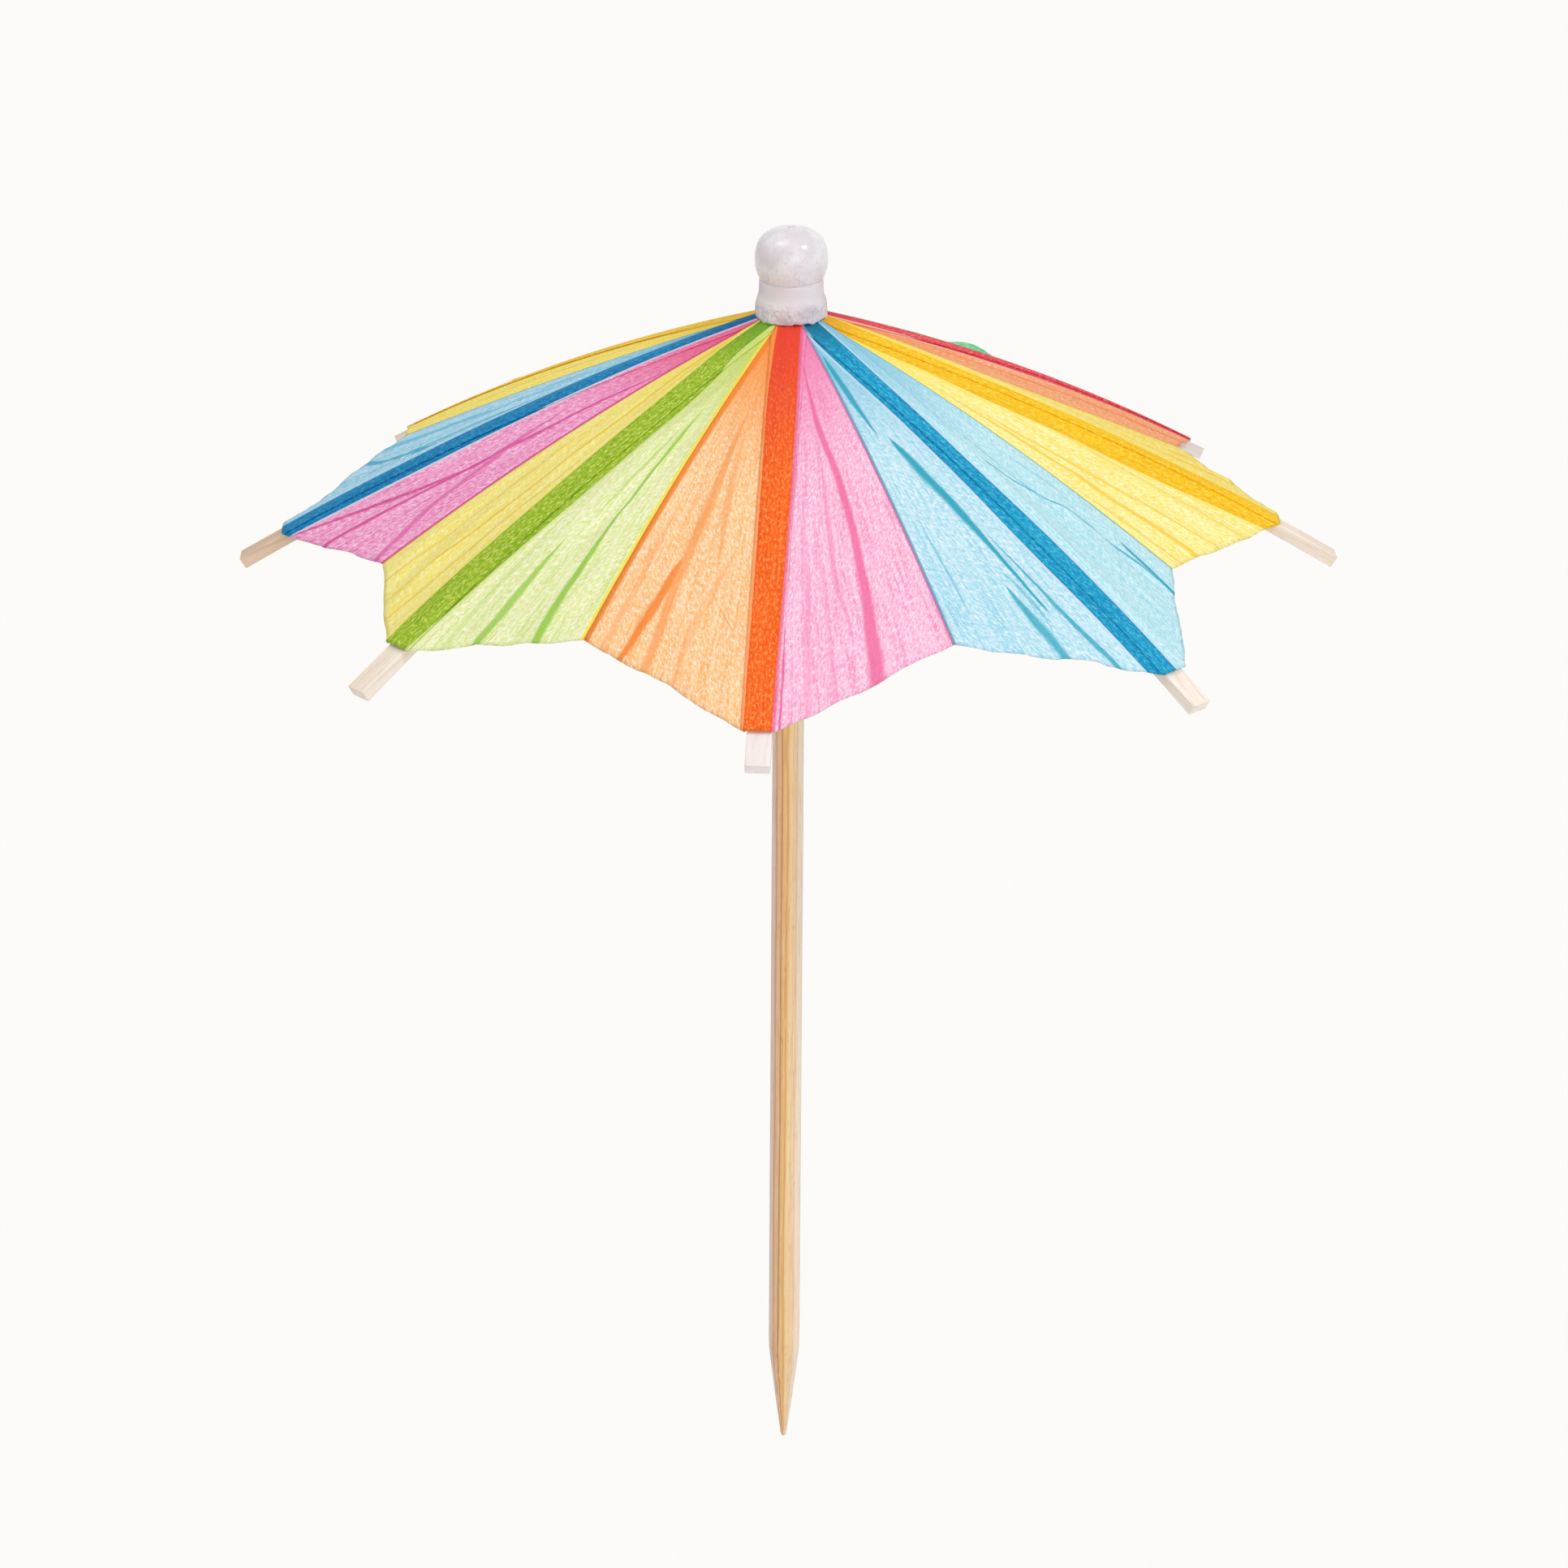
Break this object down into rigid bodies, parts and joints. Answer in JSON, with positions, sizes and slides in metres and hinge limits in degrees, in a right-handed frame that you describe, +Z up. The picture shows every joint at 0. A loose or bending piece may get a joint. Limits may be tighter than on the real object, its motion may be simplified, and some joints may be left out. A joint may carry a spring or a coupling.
{
  "type": "cocktail umbrella pick",
  "caption": "Folding paper cocktail umbrella on a pointed bamboo pick, with a white bead finial; ribs, stretchers and runner fold together.",
  "frame": {"origin": "on the pick's axis at the shoulder where its point starts, the low end of the bare shaft that is gripped or pushed into a garnish", "axes": "+Z up along the pick towards the finial, -Y towards the front rib, +X to the viewer's right"},
  "size_m": [0.082, 0.082, 0.0998],
  "materials": {
    "pick_bamboo": "split bamboo, satin, with lengthwise fibres",
    "hub_wood": "turned wood, matt",
    "rib_wood": "pale split wood, matt",
    "stretcher_wood": "thin split wood, matt",
    "pin_wood": "bamboo peg",
    "wire": "drawn wire",
    "crepe_white": "white crepe paper, matt, fine crinkles",
    "bead_white": "glossy white",
    "ring_plastic": "white tubing",
    "paper_orange_pink": "printed crepe paper: orange band, peach and pink sides",
    "paper_lime_yellow": "printed crepe paper: green band, lime and yellow sides",
    "paper_blue_pink": "printed crepe paper: blue band, pink and light blue sides",
    "paper_yellow_gold": "printed crepe paper: gold band, yellow sides",
    "paper_orange_green": "printed crepe paper: orange band, green and yellow sides",
    "paper_crimson_orange": "printed crepe paper: crimson band, orange and green sides",
    "paper_amber_yellow": "printed crepe paper: amber band, yellow sides",
    "paper_teal_blue": "printed crepe paper: teal band, light blue sides"
  },
  "bodies": {
    "pick": {"pick": "pick_bamboo", "top_hub": "hub_wood", "hinge_wire": "wire", "crepe_collar": "crepe_white", "finial_bead": "bead_white"},
    "runner": {"runner": "hub_wood"},
    "retaining_ring": {"retaining_ring": "ring_plastic"},
    "rib_front": {"rib_front": "rib_wood", "rib_pin_front": "pin_wood", "paper_gore_front": "paper_orange_pink"},
    "stretcher_front": {"stretcher_front": "stretcher_wood"},
    "rib_front_left": {"rib_front_left": "rib_wood", "rib_pin_front_left": "pin_wood", "paper_gore_front_left": "paper_lime_yellow"},
    "stretcher_front_left": {"stretcher_front_left": "stretcher_wood"},
    "rib_left": {"rib_left": "rib_wood", "rib_pin_left": "pin_wood", "paper_gore_left": "paper_blue_pink"},
    "stretcher_left": {"stretcher_left": "stretcher_wood"},
    "rib_back_left": {"rib_back_left": "rib_wood", "rib_pin_back_left": "pin_wood", "paper_gore_back_left": "paper_yellow_gold"},
    "stretcher_back_left": {"stretcher_back_left": "stretcher_wood"},
    "rib_back": {"rib_back": "rib_wood", "rib_pin_back": "pin_wood", "paper_gore_back": "paper_orange_green"},
    "stretcher_back": {"stretcher_back": "stretcher_wood"},
    "rib_back_right": {"rib_back_right": "rib_wood", "rib_pin_back_right": "pin_wood", "paper_gore_back_right": "paper_crimson_orange"},
    "stretcher_back_right": {"stretcher_back_right": "stretcher_wood"},
    "rib_right": {"rib_right": "rib_wood", "rib_pin_right": "pin_wood", "paper_gore_right": "paper_amber_yellow"},
    "stretcher_right": {"stretcher_right": "stretcher_wood"},
    "rib_front_right": {"rib_front_right": "rib_wood", "rib_pin_front_right": "pin_wood", "paper_gore_front_right": "paper_teal_blue"},
    "stretcher_front_right": {"stretcher_front_right": "stretcher_wood"}
  },
  "joints": [
    {"name": "runner_slide", "type": "slide", "parent": "pick", "child": "runner", "axis": [0, 0, -1], "range_m": [0, 0.02173]},
    {"name": "ring_slide", "type": "slide", "parent": "pick", "child": "retaining_ring", "axis": [0, 0, -1], "range_m": [0, 0.02173]},
    {"name": "rib_front_fold", "type": "hinge", "parent": "pick", "child": "rib_front", "pos_m": [-0.00013, -0.0025, 0.083], "axis": [0.9986, -0.0523, 0], "range_deg": [0, 54], "deforming": ["paper_gore_front"]},
    {"name": "stretcher_front_fold", "type": "hinge", "parent": "rib_front", "child": "stretcher_front", "pos_m": [-0.00101, -0.01927, 0.07638], "axis": [-0.9986, 0.0523, 0], "range_deg": [0, 108]},
    {"name": "rib_front_left_fold", "type": "hinge", "parent": "pick", "child": "rib_front_left", "pos_m": [-0.00187, -0.00166, 0.083], "axis": [0.6626, -0.749, 0], "range_deg": [0, 54], "deforming": ["paper_gore_front_left"]},
    {"name": "stretcher_front_left_fold", "type": "hinge", "parent": "rib_front_left", "child": "stretcher_front_left", "pos_m": [-0.01445, -0.01279, 0.07638], "axis": [-0.6626, 0.749, 0], "range_deg": [0, 108]},
    {"name": "rib_left_fold", "type": "hinge", "parent": "pick", "child": "rib_left", "pos_m": [-0.0025, 0, 0.083], "axis": [0, -1, 0], "range_deg": [0, 54], "deforming": ["paper_gore_left"]},
    {"name": "stretcher_left_fold", "type": "hinge", "parent": "rib_left", "child": "stretcher_left", "pos_m": [-0.0193, 0, 0.07638], "axis": [0, 1, 0], "range_deg": [0, 108]},
    {"name": "rib_back_left_fold", "type": "hinge", "parent": "pick", "child": "rib_back_left", "pos_m": [-0.00186, 0.00167, 0.083], "axis": [-0.6691, -0.7431, 0], "range_deg": [0, 54], "deforming": ["paper_gore_back_left"]},
    {"name": "stretcher_back_left_fold", "type": "hinge", "parent": "rib_back_left", "child": "stretcher_back_left", "pos_m": [-0.01434, 0.01291, 0.07638], "axis": [0.6691, 0.7431, 0], "range_deg": [0, 108]},
    {"name": "rib_back_fold", "type": "hinge", "parent": "pick", "child": "rib_back", "pos_m": [0.00004, 0.0025, 0.083], "axis": [-0.9998, 0.0175, 0], "range_deg": [0, 54], "deforming": ["paper_gore_back"]},
    {"name": "stretcher_back_fold", "type": "hinge", "parent": "rib_back", "child": "stretcher_back", "pos_m": [0.00034, 0.0193, 0.07638], "axis": [0.9998, -0.0175, 0], "range_deg": [0, 108]},
    {"name": "rib_back_right_fold", "type": "hinge", "parent": "pick", "child": "rib_back_right", "pos_m": [0.00194, 0.00157, 0.083], "axis": [-0.6293, 0.7771, 0], "range_deg": [0, 54], "deforming": ["paper_gore_back_right"]},
    {"name": "stretcher_back_right_fold", "type": "hinge", "parent": "rib_back_right", "child": "stretcher_back_right", "pos_m": [0.015, 0.01215, 0.07638], "axis": [0.6293, -0.7771, 0], "range_deg": [0, 108]},
    {"name": "rib_right_fold", "type": "hinge", "parent": "pick", "child": "rib_right", "pos_m": [0.0025, 0.00011, 0.083], "axis": [-0.0436, 0.999, 0], "range_deg": [0, 54], "deforming": ["paper_gore_right"]},
    {"name": "stretcher_right_fold", "type": "hinge", "parent": "rib_right", "child": "stretcher_right", "pos_m": [0.01928, 0.00084, 0.07638], "axis": [0.0436, -0.999, 0], "range_deg": [0, 108]},
    {"name": "rib_front_right_fold", "type": "hinge", "parent": "pick", "child": "rib_front_right", "pos_m": [0.00178, -0.00175, 0.083], "axis": [0.7009, 0.7133, 0], "range_deg": [0, 54], "deforming": ["paper_gore_front_right"]},
    {"name": "stretcher_front_right_fold", "type": "hinge", "parent": "rib_front_right", "child": "stretcher_front_right", "pos_m": [0.01377, -0.01353, 0.07638], "axis": [-0.7009, -0.7133, 0], "range_deg": [0, 108]}
  ],
  "couplings": [
    {"joint": "ring_slide", "follows": "runner_slide", "ratio": 1},
    {"joint": "rib_front_fold", "follows": "runner_slide", "rad_per_m": 43.382},
    {"joint": "stretcher_front_fold", "follows": "runner_slide", "rad_per_m": 86.764},
    {"joint": "rib_front_left_fold", "follows": "runner_slide", "rad_per_m": 43.382},
    {"joint": "stretcher_front_left_fold", "follows": "runner_slide", "rad_per_m": 86.764},
    {"joint": "rib_left_fold", "follows": "runner_slide", "rad_per_m": 43.382},
    {"joint": "stretcher_left_fold", "follows": "runner_slide", "rad_per_m": 86.764},
    {"joint": "rib_back_left_fold", "follows": "runner_slide", "rad_per_m": 43.382},
    {"joint": "stretcher_back_left_fold", "follows": "runner_slide", "rad_per_m": 86.764},
    {"joint": "rib_back_fold", "follows": "runner_slide", "rad_per_m": 43.382},
    {"joint": "stretcher_back_fold", "follows": "runner_slide", "rad_per_m": 86.764},
    {"joint": "rib_back_right_fold", "follows": "runner_slide", "rad_per_m": 43.382},
    {"joint": "stretcher_back_right_fold", "follows": "runner_slide", "rad_per_m": 86.764},
    {"joint": "rib_right_fold", "follows": "runner_slide", "rad_per_m": 43.382},
    {"joint": "stretcher_right_fold", "follows": "runner_slide", "rad_per_m": 86.764},
    {"joint": "rib_front_right_fold", "follows": "runner_slide", "rad_per_m": 43.382},
    {"joint": "stretcher_front_right_fold", "follows": "runner_slide", "rad_per_m": 86.764}
  ]
}
